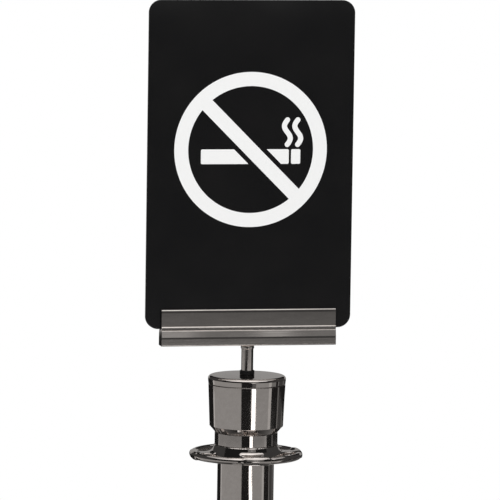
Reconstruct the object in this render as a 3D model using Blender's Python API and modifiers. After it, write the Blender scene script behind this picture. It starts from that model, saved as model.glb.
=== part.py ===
"""Free-standing no smoking sign: a flat sign panel in a slotted bar, on a rod that screws into the top of a
polished rope post with a rope ring and a weighted round base.

Metres, +Z up. The origin is on the floor, on the post's axis. The sign faces -Y.
"""

import math

import bmesh
import bpy

MM = 0.001
FIT_GAP = 0.3 * MM  # clearance left between pieces that touch

# Sign panel, a sheet of cast acrylic
PANEL_WIDTH = 177.8 * MM
PANEL_HEIGHT = 279.4 * MM
PANEL_THICKNESS = 3.2 * MM
PANEL_CORNER_RADIUS = 11.0 * MM
PANEL_EDGE_ROUND = 0.35 * MM

# Slotted bar that holds the panel, heights above its own underside
HOLDER_LENGTH = 151.4 * MM
BAR_DEPTH = 12.7 * MM
BAR_FACE_HEIGHT = 6.9 * MM
BAR_FOOT_ROUND = 0.8 * MM
SLOT_FLOOR_HEIGHT = 14.2 * MM
SLOT_DEPTH = 17.0 * MM
LIP_THICKNESS = 2.9 * MM
LIP_TOP_ROUND = 1.3 * MM
BEAD_RADIUS = 1.2 * MM
BEAD_GAP = 0.7 * MM  # from the ledge up to the bead
SHOULDER_TOP_DROP = 0.5 * MM  # from the slot's floor down to the ledge on top of the sloping shoulder
SHOULDER_LEDGE = 0.7 * MM  # the sloping ledge's width, twice what it falls

# Screws in the back lip that pinch the panel
PINCH_SCREW_SPACING = 100.0 * MM
PINCH_SCREW_RADIUS = 2.0 * MM
PINCH_SCREW_HEIGHT = 9.0 * MM  # above the slot's floor
PINCH_SOCKET_RADIUS = 1.15 * MM
PINCH_SOCKET_DEPTH = 1.5 * MM

# Rod between the bar and the cap
ROD_RADIUS = 5.1 * MM
ROD_EXPOSED = 25.4 * MM
ROD_SHOULDER_RADIUS = 5.7 * MM
ROD_SHOULDER_HEIGHT = 3.0 * MM
ROD_SHOULDER_ROUND = 0.75 * MM
ROD_TOP_STUD_RADIUS = 4.0 * MM
STUD_ROOF = 3.3 * MM  # metal left between the top stud's hole and the slot's floor
ROD_FOOT_STUD_LENGTH = 18.0 * MM
STUD_CHAMFER = 0.8 * MM
STUD_HOLE_RELIEF = 0.8 * MM  # what a stud's hole is deeper than the stud
LOCK_COLLAR_RADIUS = 6.3 * MM
LOCK_COLLAR_HEIGHT = 3.6 * MM
LOCK_COLLAR_CHAMFER = 0.4 * MM

# Post head: lid, cap body and neck, all turned
POST_TOP_HEIGHT = 1016.0 * MM
CAP_RIM_RADIUS = 33.25 * MM
CAP_JOINT_RADIUS = 32.85 * MM
CAP_FOOT_RADIUS = 31.4 * MM
CAP_EDGE_ROUND = 2.8 * MM
CAP_CROWN = 0.5 * MM
LID_HEIGHT = 7.4 * MM
LID_SPIGOT_HEIGHT = 3.0 * MM
LID_BOSS_RADIUS = 11.0 * MM
JOINT_CHAMFER = 0.35 * MM
CAP_TAPER_HEIGHT = 35.9 * MM
CAP_CHAMFER_HEIGHT = 5.2 * MM
CAP_WALL = 5.0 * MM
CAP_FLOOR = 6.0 * MM
NECK_RADIUS = 26.9 * MM
NECK_HEIGHT = 10.4 * MM

# Rope ring, one casting: hub, four webs and a round rim
RING_OUTER_RADIUS = 48.0 * MM
RIM_THICKNESS = 6.0 * MM
RING_HUB_RADIUS = 27.5 * MM
RING_HUB_FLARE = 2.5 * MM  # what the hub gains in radius from its top down to the webs
RING_HUB_HEIGHT = 11.4 * MM
HUB_EDGE_ROUND = 0.8 * MM
WEB_COUNT = 4
WEB_WIDTH = 13.0 * MM
WEB_FLARE = 3.5 * MM  # added on each side where a web meets hub and rim
WEB_THICKNESS = 4.2 * MM
WEB_SET_BACK = 0.8 * MM  # from the hub's underside up to the webs

# Post tube and the plug in its top
TUBE_RADIUS = 24.15 * MM
TUBE_WALL = 1.65 * MM
PLUG_DEPTH = 30.0 * MM
SPIGOT_RADIUS = 20.0 * MM
SPIGOT_CLEARANCE = 3.0 * MM  # from the spigot's end to the lid's boss
TIE_ROD_RADIUS = 4.75 * MM
TIE_ROD_REACH = 12.0 * MM  # into the lid's boss
TIE_ROD_STOP = 2.0 * MM  # from the tie rod's end to the end of the stud above it

# Base
BASE_RADIUS = 177.8 * MM
FLOOR_RING_THICKNESS = 4.0 * MM
FLOOR_RING_LIP = 1.6 * MM
FLOOR_RING_LIP_HEIGHT = 7.5 * MM
FLOOR_RING_REACH = 8.0 * MM  # under the weight
COVER_SHEET = 1.2 * MM
COVER_SKIRT_HEIGHT = 9.0 * MM
COVER_SHOULDER_RADIUS = 9.0 * MM
COVER_TOP_HEIGHT = 40.0 * MM
COVER_LEDGE = 7.0 * MM  # flat part of the cover outside the foot collar
COVER_SWELL = 0.35  # share of the cover's rise that follows a wave, the rest being a straight cone
WEIGHT_INSET = 26.0 * MM  # from the cover's rim in to the weight's edge
WEIGHT_THICKNESS = 14.0 * MM
WEIGHT_EDGE_CHAMFER = 2.0 * MM
WEIGHT_BOSS_INSET = 8.0 * MM  # from the edge of the cover's flat part in to the boss
FOOT_SPIGOT_HEIGHT = 25.0 * MM
FOOT_COLLAR_WIDTH = 13.0 * MM
FOOT_COLLAR_HEIGHT = 12.0 * MM
FOOT_COLLAR_STEP = 3.0 * MM
FOOT_COLLAR_CREST = 2.0 * MM
RECESS_RADIUS = 15.0 * MM
RECESS_DEPTH = 16.0 * MM
WASHER_RADIUS = 13.0 * MM
WASHER_THICKNESS = 2.5 * MM
NUT_ACROSS_FLATS = 14.3 * MM
NUT_HEIGHT = 8.0 * MM
TIE_ROD_TAIL = 2.0 * MM  # of the tie rod below its nut

# Facets round a full turn
FINE_TURN = 64
HIDDEN_TURN = 48
COARSE_TURN = 32
SMALL_TURN = 20
WEB_STEPS = 10
COVER_STEPS = 4
CREST_STEPS = 4
PANEL_CORNER_STEPS = 8

# Heights above the floor that follow from the sizes
LID_FOOT = POST_TOP_HEIGHT - LID_HEIGHT
CAP_TOP = LID_FOOT - FIT_GAP
CAP_CHAMFER_TOP = CAP_TOP - CAP_TAPER_HEIGHT
CAP_FOOT = CAP_CHAMFER_TOP - CAP_CHAMFER_HEIGHT
NECK_TOP = CAP_FOOT - FIT_GAP
NECK_FOOT = NECK_TOP - NECK_HEIGHT
RING_TOP = NECK_FOOT - FIT_GAP
RING_FOOT = RING_TOP - RING_HUB_HEIGHT
RIM_MIDDLE = RING_FOOT + WEB_SET_BACK + WEB_THICKNESS / 2
WEB_TOP = RIM_MIDDLE + WEB_THICKNESS / 2
TUBE_TOP = RING_FOOT - FIT_GAP
FOOT_STUD_END = POST_TOP_HEIGHT - ROD_FOOT_STUD_LENGTH
TIE_ROD_TOP = FOOT_STUD_END - TIE_ROD_STOP
LID_BOSS_FOOT = TIE_ROD_TOP - TIE_ROD_REACH
SPIGOT_TOP = LID_BOSS_FOOT - SPIGOT_CLEARANCE
HOLDER_FOOT = POST_TOP_HEIGHT + ROD_EXPOSED
STUD_HOLE_DEPTH = SLOT_FLOOR_HEIGHT - STUD_ROOF
TOP_STUD_END = HOLDER_FOOT + STUD_HOLE_DEPTH - STUD_HOLE_RELIEF
SLOT_FLOOR = HOLDER_FOOT + SLOT_FLOOR_HEIGHT
PANEL_FOOT = SLOT_FLOOR + FIT_GAP
PINCH_SCREW_MIDDLE = SLOT_FLOOR + PINCH_SCREW_HEIGHT
WEIGHT_FOOT = FLOOR_RING_THICKNESS + FIT_GAP
BOSS_TOP = COVER_TOP_HEIGHT - COVER_SHEET - FIT_GAP
TUBE_FOOT = BOSS_TOP + FIT_GAP
COLLAR_FOOT = COVER_TOP_HEIGHT + FIT_GAP
RECESS_TOP = WEIGHT_FOOT + RECESS_DEPTH
WASHER_TOP = RECESS_TOP - FIT_GAP
WASHER_FOOT = WASHER_TOP - WASHER_THICKNESS
NUT_TOP = WASHER_FOOT - FIT_GAP
NUT_FOOT = NUT_TOP - NUT_HEIGHT

# Radii and depths that follow from the sizes
SLOT_HALF = PANEL_THICKNESS / 2 + FIT_GAP
LIP_OUTSIDE = SLOT_HALF + LIP_THICKNESS
TUBE_BORE = TUBE_RADIUS - TUBE_WALL
CAP_BORE = CAP_FOOT_RADIUS - CAP_WALL
PLUG_RADIUS = TUBE_BORE - FIT_GAP
SPIGOT_HOLE = SPIGOT_RADIUS + FIT_GAP
TIE_ROD_HOLE = TIE_ROD_RADIUS + FIT_GAP
ROD_HOLE = ROD_RADIUS + FIT_GAP
RIM_RADIUS = RIM_THICKNESS / 2
RIM_CENTRE_RADIUS = RING_OUTER_RADIUS - RIM_RADIUS
HUB_FOOT_RADIUS = RING_HUB_RADIUS + RING_HUB_FLARE
COVER_RADIUS = BASE_RADIUS - FLOOR_RING_LIP - FIT_GAP
POST_HOLE = TUBE_RADIUS + FIT_GAP
COVER_TOP_RADIUS = POST_HOLE + FOOT_COLLAR_WIDTH + COVER_LEDGE
WEIGHT_RADIUS = COVER_RADIUS - WEIGHT_INSET
WEIGHT_BOSS_RADIUS = COVER_TOP_RADIUS - WEIGHT_BOSS_INSET
FLOOR_RING_BORE = WEIGHT_RADIUS - FLOOR_RING_REACH


def start_clean():
    for thing in list(bpy.data.objects):
        bpy.data.objects.remove(thing, do_unlink=True)


def make_collection(name, hidden=False):
    collection = bpy.data.collections.new(name)
    bpy.context.scene.collection.children.link(collection)
    collection.hide_render = hidden
    return collection


start_clean()
PARTS = make_collection("no_smoking_sign")
CUTTERS = make_collection("cutters", hidden=True)


def make_material(name, colour, roughness, metallic):
    material = bpy.data.materials.new(name)
    material.use_nodes = True
    shader = material.node_tree.nodes["Principled BSDF"]
    shader.inputs["Base Color"].default_value = (*colour, 1.0)
    shader.inputs["Roughness"].default_value = roughness
    shader.inputs["Metallic"].default_value = metallic
    return material


def polished(name):
    return make_material(name, (0.62, 0.61, 0.60), 0.08, 1.0)


def plain_steel(name):
    return make_material(name, (0.45, 0.45, 0.46), 0.35, 1.0)


def keep(thing, material):
    """Puts a finished piece in the object's collection, smooth on its round sides."""
    thing.data.materials.clear()
    thing.data.materials.append(material)
    thing.data.shade_smooth()
    thing.data.set_sharp_from_angle(angle=math.radians(35))
    PARTS.objects.link(thing)
    return thing


def as_tool(thing):
    """Keeps a shape as a hidden tool for a Boolean."""
    CUTTERS.objects.link(thing)
    thing.hide_render = True
    thing.display_type = "WIRE"
    return thing


def loose(name, mesh):
    return bpy.data.objects.new(name, mesh)


def evaluated(thing, name):
    """A new object from the shape that another has after its modifiers, which is then removed."""
    if not thing.users_collection:
        CUTTERS.objects.link(thing)
    bpy.context.view_layer.update()
    graph = bpy.context.evaluated_depsgraph_get()
    mesh = bpy.data.meshes.new_from_object(thing.evaluated_get(graph))
    matrix = thing.matrix_world.copy()
    bpy.data.objects.remove(thing, do_unlink=True)
    shape = bmesh.new()
    shape.from_mesh(mesh)
    bmesh.ops.remove_doubles(shape, verts=shape.verts, dist=0.001 * MM)
    shape.to_mesh(mesh)
    shape.free()
    mesh.name = name
    result = loose(name, mesh)
    result.matrix_world = matrix
    return result


def boolean(thing, tool, operation="DIFFERENCE"):
    modifier = thing.modifiers.new(tool.name, "BOOLEAN")
    modifier.operation = operation
    modifier.solver = "EXACT"
    modifier.object = tool


def arc(centre, radius, start, end, steps):
    """Points on an arc, with angles in degrees from the first axis."""
    points = []
    for step in range(steps + 1):
        angle = math.radians(start + (end - start) * step / steps)
        points.append((centre[0] + radius * math.cos(angle), centre[1] + radius * math.sin(angle)))
    return points


def turned(name, profile, facets):
    """A body of revolution about Z from (radius, height) points that run down its outer side.

    A profile that starts and ends on the axis is solid, and any other is closed into a ring.
    """
    is_ring = profile[0][0] > 0
    count = len(profile)
    edges = [(index, index + 1) for index in range(count - 1)]
    if is_ring:
        edges.append((count - 1, 0))
    mesh = bpy.data.meshes.new(name)
    mesh.from_pydata([(radius, 0.0, height) for radius, height in profile], edges, [])
    blank = loose(name + "_profile", mesh)
    screw = blank.modifiers.new("turn", "SCREW")
    screw.axis = "Z"
    screw.angle = 2 * math.pi
    screw.steps = facets
    screw.render_steps = facets
    screw.use_merge_vertices = True
    screw.merge_threshold = 0.001 * MM
    return evaluated(blank, name)


def extruded(name, outline, thickness):
    """A flat outline in X and Y, given thickness along Z and centred on it."""
    curve = bpy.data.curves.new(name + "_outline", "CURVE")
    curve.dimensions = "2D"
    curve.fill_mode = "BOTH"
    curve.extrude = thickness / 2
    spline = curve.splines.new("POLY")
    spline.points.add(len(outline) - 1)
    for point, (x, y) in zip(spline.points, outline):
        point.co = (x, y, 0.0, 1.0)
    spline.use_cyclic_u = True
    return evaluated(loose(name + "_outline", curve), name)


def cylinder(name, radius, length, facets):
    mesh = bpy.data.meshes.new(name)
    shape = bmesh.new()
    bmesh.ops.create_cone(
        shape, cap_ends=True, segments=facets, radius1=radius, radius2=radius, depth=length
    )
    shape.to_mesh(mesh)
    shape.free()
    return loose(name, mesh)


def make_sign_panel():
    mesh = bpy.data.meshes.new("sign_panel")
    shape = bmesh.new()
    bmesh.ops.create_cube(shape, size=1.0)
    bmesh.ops.scale(shape, vec=(PANEL_WIDTH, PANEL_THICKNESS, PANEL_HEIGHT), verts=shape.verts)
    corners = [edge for edge in shape.edges if abs((edge.verts[0].co - edge.verts[1].co).y) > MM]
    bmesh.ops.bevel(
        shape,
        geom=corners,
        offset=PANEL_CORNER_RADIUS,
        segments=PANEL_CORNER_STEPS,
        profile=0.5,
        affect="EDGES",
    )
    shape.to_mesh(mesh)
    shape.free()
    panel = loose("sign_panel", mesh)
    panel.location.z = PANEL_FOOT + PANEL_HEIGHT / 2
    rounding = panel.modifiers.new("edge rounding", "BEVEL")
    rounding.width = PANEL_EDGE_ROUND
    rounding.segments = 2
    rounding.limit_method = "ANGLE"
    rounding.angle_limit = math.radians(60)
    return keep(panel, make_material("black_acrylic", (0.012, 0.012, 0.013), 0.12, 0.0))


def holder_half_outline():
    """One side of the bar's section, as (depth, height) from its underside up into the slot."""
    half = BAR_DEPTH / 2
    shoulder_top = SLOT_FLOOR_HEIGHT - SHOULDER_TOP_DROP
    bead_middle = shoulder_top + BEAD_GAP + BEAD_RADIUS
    top = SLOT_FLOOR_HEIGHT + SLOT_DEPTH
    points = arc((half - BAR_FOOT_ROUND, BAR_FOOT_ROUND), BAR_FOOT_ROUND, -90, 0, 2)
    points.append((half, BAR_FACE_HEIGHT))
    points.append((LIP_OUTSIDE + SHOULDER_LEDGE, shoulder_top - SHOULDER_LEDGE / 2))
    points.append((LIP_OUTSIDE, shoulder_top))
    points += arc((LIP_OUTSIDE, bead_middle), BEAD_RADIUS, -90, 90, 6)
    points += arc((LIP_OUTSIDE - LIP_TOP_ROUND, top - LIP_TOP_ROUND), LIP_TOP_ROUND, 0, 90, 3)
    points.append((SLOT_HALF, top))
    points.append((SLOT_HALF, SLOT_FLOOR_HEIGHT))
    return points


def pinch_screw_places():
    return {
        "left": -PINCH_SCREW_SPACING / 2,
        "right": PINCH_SCREW_SPACING / 2,
    }


def make_sign_holder():
    half = holder_half_outline()
    outline = half + [(-depth, height) for depth, height in reversed(half)]
    holder = extruded("sign_holder", outline, HOLDER_LENGTH)
    # The section's depth goes to Y, its height to Z and its length to X.
    holder.rotation_euler = (math.pi / 2, 0.0, math.pi / 2)
    holder.location.z = HOLDER_FOOT
    stud_hole = cylinder("stud_hole", ROD_TOP_STUD_RADIUS + FIT_GAP, 2 * STUD_HOLE_DEPTH, SMALL_TURN)
    stud_hole.location.z = HOLDER_FOOT
    boolean(holder, as_tool(stud_hole))
    for side, x in pinch_screw_places().items():
        screw_hole = cylinder(
            "pinch_hole_" + side, PINCH_SCREW_RADIUS + FIT_GAP, 2 * LIP_THICKNESS, SMALL_TURN
        )
        screw_hole.rotation_euler.x = math.pi / 2
        screw_hole.location = (x, SLOT_HALF + LIP_THICKNESS / 2, PINCH_SCREW_MIDDLE)
        boolean(holder, as_tool(screw_hole))
    return keep(holder, polished("polished_bar"))


def make_pinch_screws():
    length = LIP_THICKNESS
    for side, x in pinch_screw_places().items():
        screw = cylinder("pinch_screw_" + side, PINCH_SCREW_RADIUS, length, SMALL_TURN)
        screw.rotation_euler.x = math.pi / 2
        screw.location = (x, SLOT_HALF + length / 2, PINCH_SCREW_MIDDLE)
        socket = cylinder("socket_" + side, PINCH_SOCKET_RADIUS, 2 * PINCH_SOCKET_DEPTH, 6)
        socket.rotation_euler.x = math.pi / 2
        socket.location = (x, SLOT_HALF + length, PINCH_SCREW_MIDDLE)
        boolean(screw, as_tool(socket))
        keep(screw, plain_steel("screw_steel_" + side))


def make_sign_rod():
    top = TOP_STUD_END
    shoulder_top = HOLDER_FOOT - FIT_GAP
    shoulder_foot = shoulder_top - ROD_SHOULDER_HEIGHT
    foot = FOOT_STUD_END
    edge = ROD_SHOULDER_RADIUS - ROD_SHOULDER_ROUND
    upper = (edge, shoulder_top - ROD_SHOULDER_ROUND)
    lower = (edge, shoulder_foot + ROD_SHOULDER_ROUND)
    profile = [
        (0.0, top),
        (ROD_TOP_STUD_RADIUS - STUD_CHAMFER, top),
        (ROD_TOP_STUD_RADIUS, top - STUD_CHAMFER),
        (ROD_TOP_STUD_RADIUS, shoulder_top),
    ]
    profile += arc(upper, ROD_SHOULDER_ROUND, 90, 0, 2)
    profile += arc(lower, ROD_SHOULDER_ROUND, 0, -90, 2)
    profile += [
        (ROD_RADIUS, shoulder_foot),
        (ROD_RADIUS, foot + STUD_CHAMFER),
        (ROD_RADIUS - STUD_CHAMFER, foot),
        (0.0, foot),
    ]
    return keep(turned("sign_rod", profile, SMALL_TURN), polished("polished_rod"))


def make_lock_collar():
    foot = POST_TOP_HEIGHT + FIT_GAP
    top = foot + LOCK_COLLAR_HEIGHT
    profile = [
        (ROD_HOLE, top),
        (LOCK_COLLAR_RADIUS - LOCK_COLLAR_CHAMFER, top),
        (LOCK_COLLAR_RADIUS, top - LOCK_COLLAR_CHAMFER),
        (LOCK_COLLAR_RADIUS, foot),
        (ROD_HOLE, foot),
    ]
    finish = make_material("blackened_steel", (0.03, 0.03, 0.031), 0.3, 0.6)
    return keep(turned("rod_lock_collar", profile, COARSE_TURN), finish)


def make_cap_lid():
    top = POST_TOP_HEIGHT
    spigot = CAP_BORE - FIT_GAP
    flat = CAP_RIM_RADIUS - CAP_EDGE_ROUND
    profile = [(ROD_HOLE, top), (flat / 2, top - CAP_CROWN / 4)]
    profile += arc((flat, top - CAP_CROWN - CAP_EDGE_ROUND), CAP_EDGE_ROUND, 90, 0, 4)
    profile += [
        (CAP_JOINT_RADIUS, LID_FOOT + JOINT_CHAMFER),
        (CAP_JOINT_RADIUS - JOINT_CHAMFER, LID_FOOT),
        (spigot, LID_FOOT),
        (spigot, LID_FOOT - LID_SPIGOT_HEIGHT),
        (LID_BOSS_RADIUS, LID_FOOT - LID_SPIGOT_HEIGHT),
        (LID_BOSS_RADIUS, LID_BOSS_FOOT),
        (TIE_ROD_HOLE, LID_BOSS_FOOT),
        (TIE_ROD_HOLE, (TIE_ROD_TOP + FOOT_STUD_END) / 2),
        (ROD_HOLE, (TIE_ROD_TOP + FOOT_STUD_END) / 2),
    ]
    return keep(turned("cap_lid", profile, FINE_TURN), polished("polished_lid"))


def make_cap_body():
    inner_floor = CAP_FOOT + CAP_FLOOR
    profile = [
        (CAP_BORE, CAP_TOP),
        (CAP_JOINT_RADIUS - JOINT_CHAMFER, CAP_TOP),
        (CAP_JOINT_RADIUS, CAP_TOP - JOINT_CHAMFER),
        (CAP_FOOT_RADIUS, CAP_CHAMFER_TOP),
        (NECK_RADIUS, CAP_FOOT),
        (SPIGOT_HOLE, CAP_FOOT),
        (SPIGOT_HOLE, inner_floor),
        (CAP_BORE, inner_floor),
    ]
    return keep(turned("cap_body", profile, FINE_TURN), polished("polished_cap"))


def make_neck():
    profile = [
        (SPIGOT_HOLE, NECK_TOP),
        (NECK_RADIUS - JOINT_CHAMFER, NECK_TOP),
        (NECK_RADIUS, NECK_TOP - JOINT_CHAMFER),
        (NECK_RADIUS, NECK_FOOT + JOINT_CHAMFER),
        (NECK_RADIUS - JOINT_CHAMFER, NECK_FOOT),
        (SPIGOT_HOLE, NECK_FOOT),
    ]
    return keep(turned("neck_collar", profile, FINE_TURN), polished("polished_neck"))


def web_outline():
    """A web seen from above, along +X from the hub's wall into the rim, flared at both ends."""
    start = (SPIGOT_HOLE + RING_HUB_RADIUS) / 2
    end = RIM_CENTRE_RADIUS
    middle = (HUB_FOOT_RADIUS + end - RIM_RADIUS) / 2
    reach = (end - RIM_RADIUS - HUB_FOOT_RADIUS) / 2
    side = []
    for step in range(WEB_STEPS + 1):
        x = start + (end - start) * step / WEB_STEPS
        flare = WEB_FLARE * min(1.0, abs(x - middle) / reach) ** 3
        side.append((x, WEB_WIDTH / 2 + flare))
    return side + [(x, -half) for x, half in reversed(side)]


def make_rope_ring():
    hub_top = (RING_HUB_RADIUS - HUB_EDGE_ROUND, RING_TOP - HUB_EDGE_ROUND)
    hub_foot = (HUB_FOOT_RADIUS - HUB_EDGE_ROUND, RING_FOOT + HUB_EDGE_ROUND)
    hub_profile = [(SPIGOT_HOLE, RING_TOP)]
    hub_profile += arc(hub_top, HUB_EDGE_ROUND, 90, 0, 2)
    hub_profile.append((HUB_FOOT_RADIUS, WEB_TOP))
    hub_profile += arc(hub_foot, HUB_EDGE_ROUND, 0, -90, 2)
    hub_profile.append((SPIGOT_HOLE, RING_FOOT))
    ring = turned("rope_ring", hub_profile, FINE_TURN)
    rim_profile = arc((RIM_CENTRE_RADIUS, RIM_MIDDLE), RIM_RADIUS, 180, -180, 12)[:-1]
    rim = as_tool(turned("ring_rim", rim_profile, FINE_TURN))
    boolean(ring, rim, "UNION")
    for index in range(WEB_COUNT):
        web = extruded("ring_web_%d" % (index + 1), web_outline(), WEB_THICKNESS)
        web.location.z = RIM_MIDDLE
        web.rotation_euler.z = 2 * math.pi * index / WEB_COUNT
        boolean(ring, as_tool(web), "UNION")
    return keep(ring, polished("polished_ring"))


def make_post_tube():
    profile = [
        (TUBE_BORE, TUBE_TOP),
        (TUBE_RADIUS, TUBE_TOP),
        (TUBE_RADIUS, TUBE_FOOT),
        (TUBE_BORE, TUBE_FOOT),
    ]
    return keep(turned("post_tube", profile, FINE_TURN), polished("polished_tube"))


def make_top_plug():
    foot = TUBE_TOP - PLUG_DEPTH
    profile = [
        (TIE_ROD_HOLE, SPIGOT_TOP),
        (SPIGOT_RADIUS, SPIGOT_TOP),
        (SPIGOT_RADIUS, TUBE_TOP),
        (PLUG_RADIUS, TUBE_TOP),
        (PLUG_RADIUS, foot),
        (TIE_ROD_HOLE, foot),
    ]
    return keep(turned("tube_top_plug", profile, COARSE_TURN), plain_steel("plug_steel"))


def make_tie_rod():
    foot = NUT_FOOT - TIE_ROD_TAIL
    rod = cylinder("tie_rod", TIE_ROD_RADIUS, TIE_ROD_TOP - foot, SMALL_TURN)
    rod.location.z = (TIE_ROD_TOP + foot) / 2
    return keep(rod, plain_steel("rod_steel"))


def make_foot_collar():
    crest = POST_HOLE + FOOT_COLLAR_CREST
    spread = FOOT_COLLAR_WIDTH - FOOT_COLLAR_CREST
    rise = FOOT_COLLAR_HEIGHT - FOOT_COLLAR_STEP
    profile = [(POST_HOLE, COLLAR_FOOT + FOOT_COLLAR_HEIGHT)]
    for step in range(CREST_STEPS + 1):
        angle = math.radians(90 * step / CREST_STEPS)
        height = COLLAR_FOOT + FOOT_COLLAR_STEP + rise * math.cos(angle)
        profile.append((crest + spread * math.sin(angle), height))
    profile += [(POST_HOLE + FOOT_COLLAR_WIDTH, COLLAR_FOOT), (POST_HOLE, COLLAR_FOOT)]
    return keep(turned("foot_collar", profile, FINE_TURN), polished("polished_foot_collar"))


def cover_profile(inset):
    """The base cover's outside from the centre hole to the rim, or its inside for an inset of one sheet."""
    shoulder = COVER_SHOULDER_RADIUS - inset
    rim = COVER_RADIUS - inset
    foot = FLOOR_RING_THICKNESS + FIT_GAP
    shoulder_middle = foot + COVER_SKIRT_HEIGHT
    crown = shoulder_middle + shoulder
    top = COVER_TOP_HEIGHT - inset
    edge = rim - shoulder
    points = [(POST_HOLE, top), (COVER_TOP_RADIUS, top)]
    for step in range(1, COVER_STEPS):
        share = step / COVER_STEPS
        wave = 0.5 + 0.5 * math.cos(math.pi * share)
        fall = COVER_SWELL * wave + (1 - COVER_SWELL) * (1 - share)
        across = COVER_TOP_RADIUS + (edge - COVER_TOP_RADIUS) * share
        points.append((across, crown + (top - crown) * fall))
    points += arc((edge, shoulder_middle), shoulder, 90, 0, 3)
    points.append((rim, foot))
    return points


def make_base_cover():
    outside = cover_profile(0.0)
    inside = cover_profile(COVER_SHEET)
    profile = outside + list(reversed(inside))
    return keep(turned("base_cover", profile, FINE_TURN), polished("polished_cover"))


def make_base_weight():
    slab_top = WEIGHT_FOOT + WEIGHT_THICKNESS
    profile = [
        (TIE_ROD_HOLE, BOSS_TOP + FOOT_SPIGOT_HEIGHT),
        (PLUG_RADIUS, BOSS_TOP + FOOT_SPIGOT_HEIGHT),
        (PLUG_RADIUS, BOSS_TOP),
        (WEIGHT_BOSS_RADIUS, BOSS_TOP),
        (WEIGHT_BOSS_RADIUS, slab_top),
        (WEIGHT_RADIUS - WEIGHT_EDGE_CHAMFER, slab_top),
        (WEIGHT_RADIUS, slab_top - WEIGHT_EDGE_CHAMFER),
        (WEIGHT_RADIUS, WEIGHT_FOOT),
        (RECESS_RADIUS, WEIGHT_FOOT),
        (RECESS_RADIUS, RECESS_TOP),
        (TIE_ROD_HOLE, RECESS_TOP),
    ]
    weight = turned("base_weight", profile, HIDDEN_TURN)
    return keep(weight, make_material("cast_iron", (0.05, 0.05, 0.052), 0.7, 0.4))


def make_floor_ring():
    lip = BASE_RADIUS - FLOOR_RING_LIP
    profile = [
        (lip, FLOOR_RING_LIP_HEIGHT),
        (BASE_RADIUS, FLOOR_RING_LIP_HEIGHT),
        (BASE_RADIUS, 0.0),
        (FLOOR_RING_BORE, 0.0),
        (FLOOR_RING_BORE, FLOOR_RING_THICKNESS),
        (lip, FLOOR_RING_THICKNESS),
    ]
    ring = turned("floor_ring", profile, FINE_TURN)
    return keep(ring, make_material("black_rubber", (0.02, 0.02, 0.02), 0.8, 0.0))


def make_tie_rod_washer():
    profile = [
        (TIE_ROD_HOLE, WASHER_TOP),
        (WASHER_RADIUS, WASHER_TOP),
        (WASHER_RADIUS, WASHER_FOOT),
        (TIE_ROD_HOLE, WASHER_FOOT),
    ]
    return keep(turned("tie_rod_washer", profile, COARSE_TURN), plain_steel("washer_steel"))


def make_tie_rod_nut():
    across_corners = NUT_ACROSS_FLATS / math.cos(math.pi / 6)
    nut = cylinder("tie_rod_nut", across_corners / 2, NUT_HEIGHT, 6)
    nut.location.z = (NUT_TOP + NUT_FOOT) / 2
    bore = cylinder("nut_bore", TIE_ROD_HOLE, 2 * NUT_HEIGHT, SMALL_TURN)
    bore.location.z = nut.location.z
    boolean(nut, as_tool(bore))
    return keep(nut, plain_steel("nut_steel"))


make_sign_panel()
make_sign_holder()
make_pinch_screws()
make_sign_rod()
make_lock_collar()
make_cap_lid()
make_cap_body()
make_neck()
make_rope_ring()
make_post_tube()
make_top_plug()
make_tie_rod()
make_foot_collar()
make_base_cover()
make_base_weight()
make_floor_ring()
make_tie_rod_washer()
make_tie_rod_nut()
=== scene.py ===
"""Looks of the free-standing no smoking sign: finely turned, drawn and cast pieces in place of the plain
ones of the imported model, their materials, the printed symbol, a pale floor, soft light and the camera.

Metres, +Z up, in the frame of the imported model. The sign faces -Y and stands on the floor at Z 0.
"""

import math

import bmesh
import bpy
import numpy as np
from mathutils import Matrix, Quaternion, Vector


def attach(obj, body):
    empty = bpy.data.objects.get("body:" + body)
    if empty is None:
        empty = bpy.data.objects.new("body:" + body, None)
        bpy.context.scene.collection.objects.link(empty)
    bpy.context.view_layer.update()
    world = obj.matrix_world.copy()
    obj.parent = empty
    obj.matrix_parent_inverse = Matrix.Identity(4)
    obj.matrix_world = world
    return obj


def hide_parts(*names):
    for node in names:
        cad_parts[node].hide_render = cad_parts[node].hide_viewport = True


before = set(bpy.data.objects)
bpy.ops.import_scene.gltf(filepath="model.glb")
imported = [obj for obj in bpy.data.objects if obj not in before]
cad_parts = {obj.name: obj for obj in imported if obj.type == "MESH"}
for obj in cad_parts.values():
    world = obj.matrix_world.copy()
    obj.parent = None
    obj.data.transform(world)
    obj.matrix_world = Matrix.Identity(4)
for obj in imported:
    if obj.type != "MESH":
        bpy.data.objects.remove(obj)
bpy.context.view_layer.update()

MM = 0.001
FIT_GAP = 0.3 * MM

# Camera, which looks at the middle of the head from a little above
CAMERA_TURN = math.radians(11.72)  # towards -X from straight in front
CAMERA_LIFT = math.radians(6.2)
CAMERA_ROLL = math.radians(0.848)
CAMERA_DISTANCE = 4.5
CAMERA_LENS = 381.4
CAMERA_SENSOR = 36.0
CAMERA_NEAR = 0.1
CAMERA_FAR = 100.0
VIEW_CENTRE_HEIGHT = 1122.64 * MM
VIEW_CENTRE_SIDE = 0.95 * MM

# Sign panel
PANEL_WIDTH = 177.8 * MM
PANEL_HEIGHT = 279.4 * MM
PANEL_THICKNESS = 3.2 * MM
PANEL_CORNER_RADIUS = 11.0 * MM
PANEL_EDGE_ROUND = 0.45 * MM

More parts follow.
